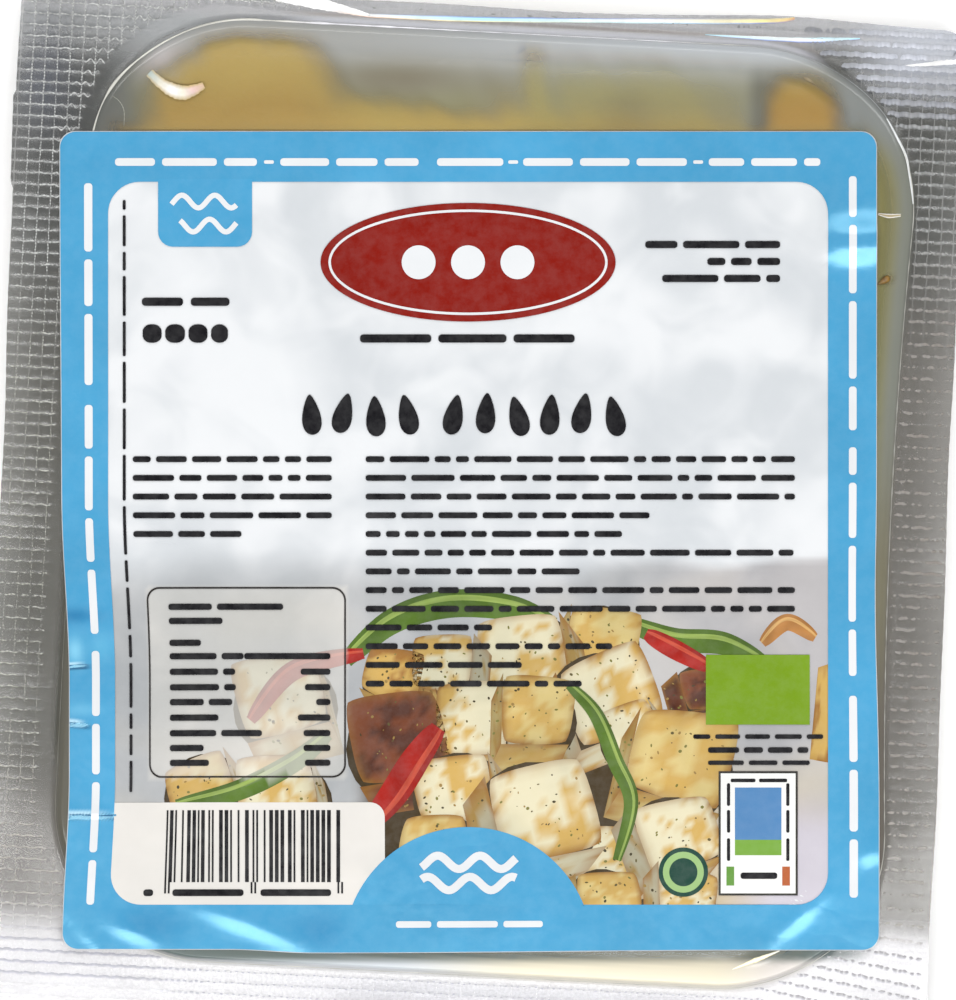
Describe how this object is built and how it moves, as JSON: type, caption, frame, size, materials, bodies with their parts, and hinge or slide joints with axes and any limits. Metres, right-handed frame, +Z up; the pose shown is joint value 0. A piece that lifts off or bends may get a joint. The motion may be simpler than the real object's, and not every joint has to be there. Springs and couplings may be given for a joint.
{
  "type": "vacuum pack of sesame tofu",
  "caption": "Clear thermoformed vacuum pack holding a flat slab of sesame tofu, with a sealed lid film, a rippled flange all round and a square printed label stuck on the lid.",
  "frame": {"origin": "centre of the pack's outline seen from above, on the face it rests on", "axes": "+X to the right across the pack as the label is read, +Y up the pack towards the top of the label, +Z up out of the lid"},
  "size_m": [0.136, 0.1464, 0.0104],
  "materials": {
    "pack_film": "clear film over golden cream tofu",
    "label_print": "glossy printed label, blue frame round a white panel"
  },
  "bodies": {
    "root": {"sealed_pack": "pack_film", "label": "label_print"}
  },
  "joints": []
}
